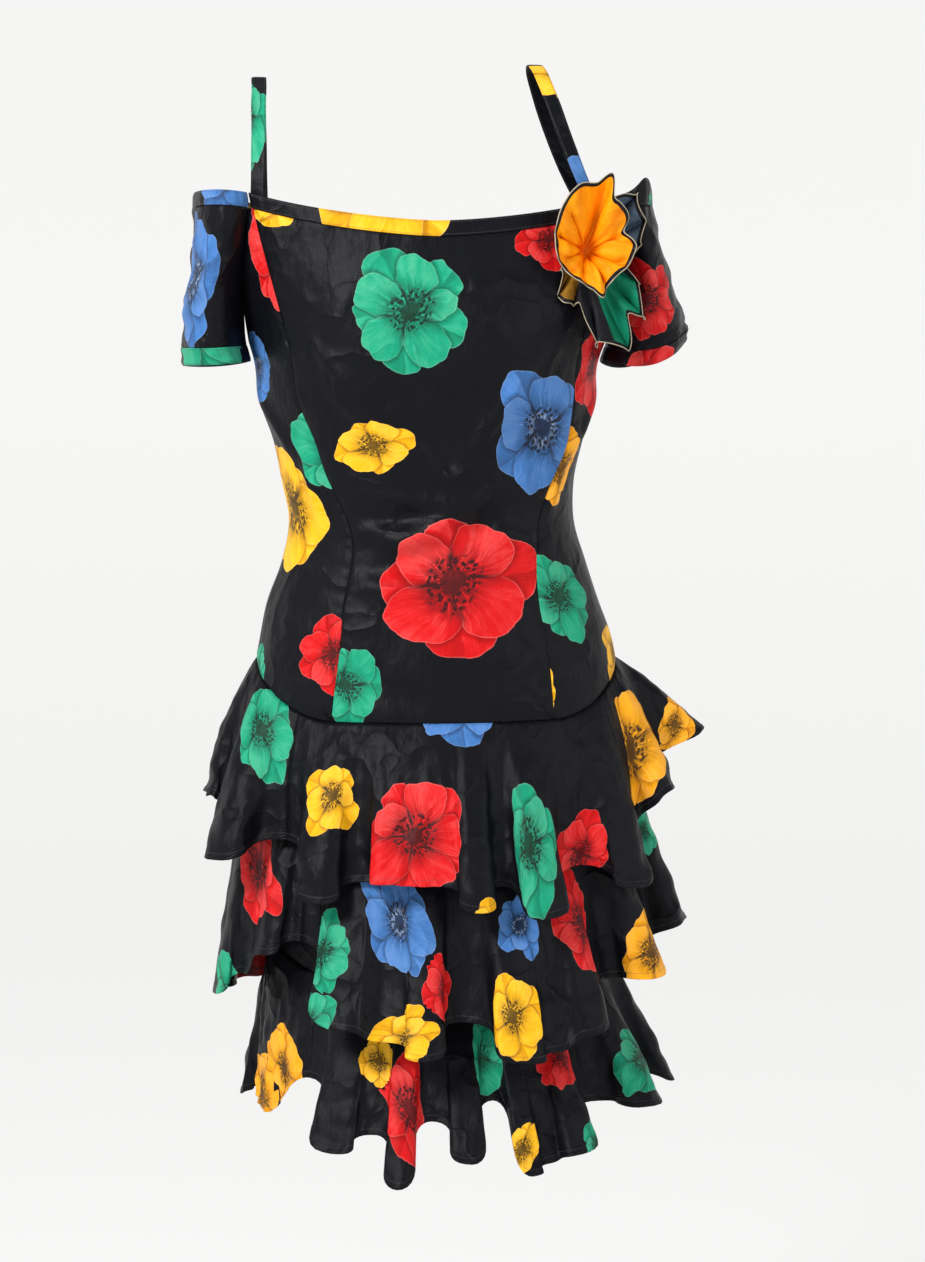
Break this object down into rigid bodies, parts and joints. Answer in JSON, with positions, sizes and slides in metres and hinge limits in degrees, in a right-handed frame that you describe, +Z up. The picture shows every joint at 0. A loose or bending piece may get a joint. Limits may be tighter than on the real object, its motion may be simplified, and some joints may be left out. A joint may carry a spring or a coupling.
{
  "type": "flamenco dress",
  "caption": "Off-shoulder flamenco dress with a princess-seamed bodice, short sleeves, shoulder straps, fluted flounces and a cloth flower, in its hollow worn form.",
  "frame": {"origin": "middle of the shoulder line that the two straps pass over, which is where the wearer holds the dress up", "axes": "+Z up, -Y towards the front of the dress, +X towards the wearer's left"},
  "size_m": [0.4745, 0.3723, 0.9656],
  "materials": {
    "printed_cotton": "black polished cotton with a floral print and a soft sheen",
    "blue_cotton": "blue part of the print, soft sheen",
    "green_cotton": "green part of the print, soft sheen",
    "red_cotton": "red part of the print, soft sheen",
    "yellow_cotton": "yellow part of the print, soft sheen"
  },
  "bodies": {
    "root": {"bodice_front": "printed_cotton", "bodice_side_front_right": "printed_cotton", "bodice_side_front_left": "printed_cotton", "bodice_side_back_right": "printed_cotton", "bodice_side_back_left": "printed_cotton", "bodice_back_right": "printed_cotton", "bodice_back_left": "printed_cotton", "neck_band_front": "printed_cotton", "neck_band_back": "printed_cotton", "sleeve_right": "printed_cotton", "sleeve_left": "printed_cotton", "sleeve_band_right": "blue_cotton", "sleeve_band_left": "printed_cotton", "cuff_right": "green_cotton", "cuff_left": "red_cotton", "strap_right": "printed_cotton", "strap_left": "printed_cotton", "underskirt_front": "printed_cotton", "underskirt_back": "printed_cotton", "flounce_upper_front": "printed_cotton", "flounce_upper_back_right": "printed_cotton", "flounce_upper_back_left": "printed_cotton", "flounce_middle_front": "printed_cotton", "flounce_middle_back_right": "printed_cotton", "flounce_middle_back_left": "printed_cotton", "flounce_lower_front": "printed_cotton", "flounce_lower_back_right": "printed_cotton", "flounce_lower_back_left": "printed_cotton", "flower_frill": "green_cotton", "flower_bloom": "yellow_cotton"}
  },
  "joints": []
}
